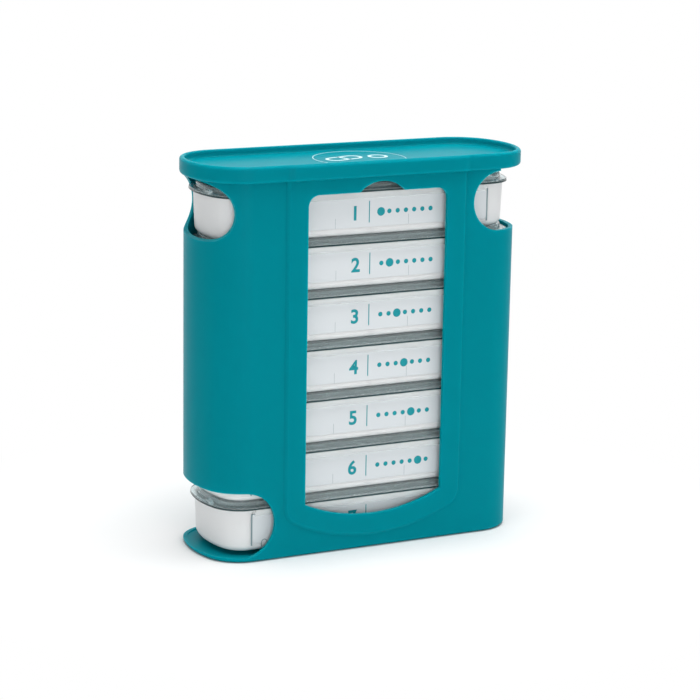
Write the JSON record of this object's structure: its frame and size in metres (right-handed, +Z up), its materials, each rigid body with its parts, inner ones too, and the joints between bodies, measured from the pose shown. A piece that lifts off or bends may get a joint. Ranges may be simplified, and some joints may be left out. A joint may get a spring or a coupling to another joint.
{
  "type": "weekly pill drawer organizer",
  "caption": "Tall oval case with a tray-topped cap and a front window, holding a stack of lidded, divided pill drawers that slide in at the upper right and out at the lower left.",
  "frame": {"origin": "centre of the case's footprint, on the surface that it stands on", "axes": "+Z up, +X to the right of somebody facing the window, -Y towards that person"},
  "size_m": [0.125, 0.0444, 0.1371],
  "materials": {
    "case_plastic": "injection-moulded ABS, satin gloss, teal",
    "cup_plastic": "injection-moulded polypropylene, white, soft sheen",
    "lid_plastic": "injection-moulded clear polystyrene, glossy",
    "label_film": "white printed film under a clear plate"
  },
  "bodies": {
    "case": {"case_shell": "case_plastic", "cap": "case_plastic", "day2_cup": "cup_plastic", "day2_lid": "lid_plastic", "day2_label": "label_film", "day3_cup": "cup_plastic", "day3_lid": "lid_plastic", "day3_label": "label_film", "day4_cup": "cup_plastic", "day4_lid": "lid_plastic", "day4_label": "label_film", "day5_cup": "cup_plastic", "day5_lid": "lid_plastic", "day5_label": "label_film", "day6_cup": "cup_plastic", "day6_lid": "lid_plastic", "day6_label": "label_film"},
    "day1_drawer": {"day1_cup": "cup_plastic", "day1_label": "label_film"},
    "day1_lid_body": {"day1_lid": "lid_plastic"},
    "day7_drawer": {"day7_cup": "cup_plastic", "day7_label": "label_film"},
    "day7_lid_body": {"day7_lid": "lid_plastic"}
  },
  "joints": [
    {"name": "day1_drawer_slide", "type": "slide", "parent": "case", "child": "day1_drawer", "axis": [1, 0, 0], "range_m": [0, 0.118]},
    {"name": "day1_lid_slide", "type": "slide", "parent": "day1_drawer", "child": "day1_lid_body", "axis": [1, 0, 0], "range_m": [0, 0.11]},
    {"name": "day7_drawer_slide", "type": "slide", "parent": "case", "child": "day7_drawer", "axis": [-1, 0, 0], "range_m": [0, 0.118]},
    {"name": "day7_lid_slide", "type": "slide", "parent": "day7_drawer", "child": "day7_lid_body", "axis": [-1, 0, 0], "range_m": [0, 0.11]}
  ]
}
